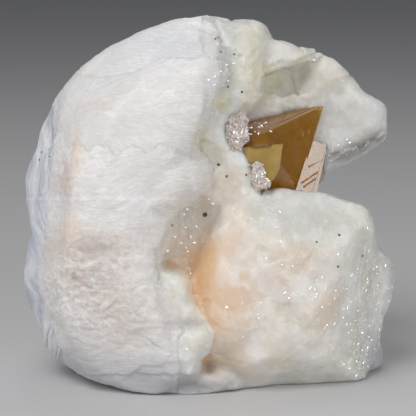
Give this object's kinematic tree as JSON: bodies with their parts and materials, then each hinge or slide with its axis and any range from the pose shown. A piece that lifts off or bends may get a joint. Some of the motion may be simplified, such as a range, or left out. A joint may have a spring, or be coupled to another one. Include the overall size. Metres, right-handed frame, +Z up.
{
  "type": "mineral specimen",
  "caption": "Honey-brown powellite crystals with sparkling apophyllite in a recess of a broken white and peach stilbite mass, standing on its flat base.",
  "frame": {"origin": "middle of the box around the specimen, at the plane of its flat broken base", "axes": "+X to the right of the show side, +Y away from the viewer of the show side, +Z up"},
  "size_m": [0.0862, 0.0568, 0.0834],
  "materials": {
    "stilbite": "chalky white and fibrous on the broken dome, waxy cream and peach with glassy sparkles on the rest",
    "powellite": "clear honey brown, glassy to adamantine, see-through by transmission with an index near 1.97",
    "apophyllite": "clear to pinkish white, glassy, with bright sparkles"
  },
  "bodies": {
    "root": {"stilbite_matrix": "stilbite", "powellite_crystals": "powellite", "apophyllite_upper_crust": "apophyllite", "apophyllite_lower_crust": "apophyllite"}
  },
  "joints": []
}
